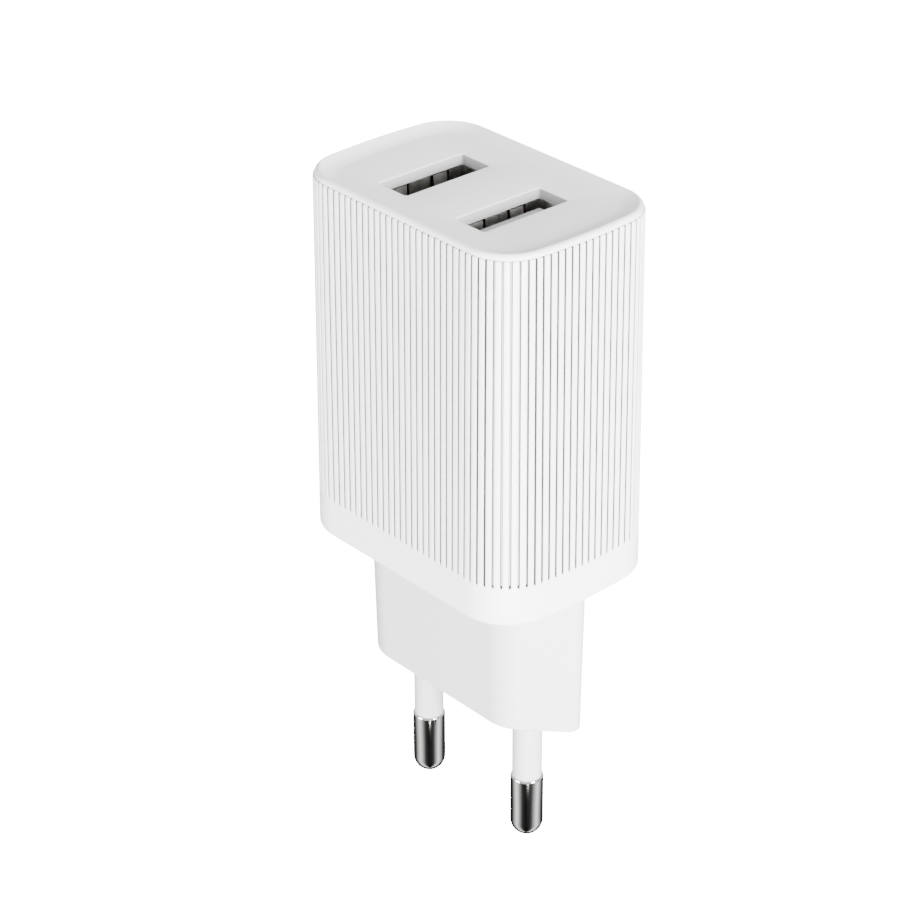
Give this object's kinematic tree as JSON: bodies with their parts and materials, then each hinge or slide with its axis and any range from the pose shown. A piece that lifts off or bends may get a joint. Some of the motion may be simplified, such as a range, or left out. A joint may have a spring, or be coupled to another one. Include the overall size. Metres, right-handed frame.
{
  "type": "usb wall charger",
  "caption": "Ribbed white wall charger with a dished top holding USB-A sockets and a narrow plug block with round sleeved pins.",
  "frame": {"origin": "middle of the plug block end face, between the pins", "axes": "+X runs along the line of the pins, +Z runs from the plug face up to the USB sockets; the pins point along -Z"},
  "size_m": [0.0368, 0.0248, 0.083],
  "materials": {
    "housing": "fine satin white",
    "pin_metal": "polished nickel",
    "sleeve": "smooth white",
    "strip_metal": "plain copper strip",
    "board": "green solder mask",
    "can_sleeve": "dark shrink sleeve",
    "package": "moulded black",
    "choke": "dark ferrite",
    "resistor": "pale green coat",
    "small_parts": "tan body",
    "ferrite": "fine grey ferrite",
    "bobbin": "moulded black",
    "winding": "enamelled copper",
    "tape": "yellow film",
    "disc": "dipped blue",
    "sheet": "fish paper",
    "link_metal": "tinned brass",
    "shell_steel": "nickel-plated sheet",
    "tongue": "moulded white",
    "contact_metal": "gold-flashed"
  },
  "bodies": {
    "charger": {"ribbed_shell": "housing", "top_cover": "housing", "plug_base": "housing", "pin_left": "pin_metal", "pin_right": "pin_metal", "pin_sleeve_left": "sleeve", "pin_sleeve_right": "sleeve", "mains_strip_left": "strip_metal", "mains_strip_right": "strip_metal", "fusible_resistor": "resistor", "main_board": "board", "bulk_capacitor_left": "can_sleeve", "bulk_capacitor_right": "can_sleeve", "bridge_rectifier": "package", "filter_choke": "choke", "controller_chip": "package", "snubber_parts": "small_parts", "transformer_core": "ferrite", "transformer_bobbin": "bobbin", "transformer_winding": "winding", "transformer_tape": "tape", "safety_capacitor": "disc", "optocoupler": "package", "output_rectifier": "package", "output_capacitor_lower": "can_sleeve", "output_capacitor_upper": "can_sleeve", "insulation_sheet": "sheet", "port_board": "board", "board_link_pins": "link_metal", "charging_chips": "package", "socket_shell_left": "shell_steel", "socket_shell_right": "shell_steel", "socket_tongue_left": "tongue", "socket_tongue_right": "tongue", "contact_tails_left": "contact_metal", "contact_tails_right": "contact_metal"},
    "contacts_left": {"contact_springs_left": "contact_metal"},
    "contacts_right": {"contact_springs_right": "contact_metal"},
    "grips_left_inner": {"grip_springs_left_inner": "shell_steel"},
    "grips_left_outer": {"grip_springs_left_outer": "shell_steel"},
    "grips_right_inner": {"grip_springs_right_inner": "shell_steel"},
    "grips_right_outer": {"grip_springs_right_outer": "shell_steel"}
  },
  "joints": [
    {"name": "contacts_left_flex", "type": "hinge", "parent": "charger", "child": "contacts_left", "pos_m": [-0.00638, -0.0006, 0.05285], "axis": [0, 1, 0], "range_deg": [0, 3.4], "stiffness_Nm_per_rad": 0.002},
    {"name": "grips_left_inner_flex", "type": "hinge", "parent": "charger", "child": "grips_left_inner", "pos_m": [-0.00369, -0.0006, 0.05575], "axis": [0, 1, 0], "range_deg": [0, 4], "stiffness_Nm_per_rad": 0.002},
    {"name": "grips_left_outer_flex", "type": "hinge", "parent": "charger", "child": "grips_left_outer", "pos_m": [-0.00911, -0.0006, 0.05575], "axis": [0, -1, 0], "range_deg": [0, 4], "stiffness_Nm_per_rad": 0.002},
    {"name": "contacts_right_flex", "type": "hinge", "parent": "charger", "child": "contacts_right", "pos_m": [0.00638, -0.0006, 0.05285], "axis": [0, -1, 0], "range_deg": [0, 3.4], "stiffness_Nm_per_rad": 0.002},
    {"name": "grips_right_inner_flex", "type": "hinge", "parent": "charger", "child": "grips_right_inner", "pos_m": [0.00369, -0.0006, 0.05575], "axis": [0, -1, 0], "range_deg": [0, 4], "stiffness_Nm_per_rad": 0.002},
    {"name": "grips_right_outer_flex", "type": "hinge", "parent": "charger", "child": "grips_right_outer", "pos_m": [0.00911, -0.0006, 0.05575], "axis": [0, 1, 0], "range_deg": [0, 4], "stiffness_Nm_per_rad": 0.002}
  ]
}
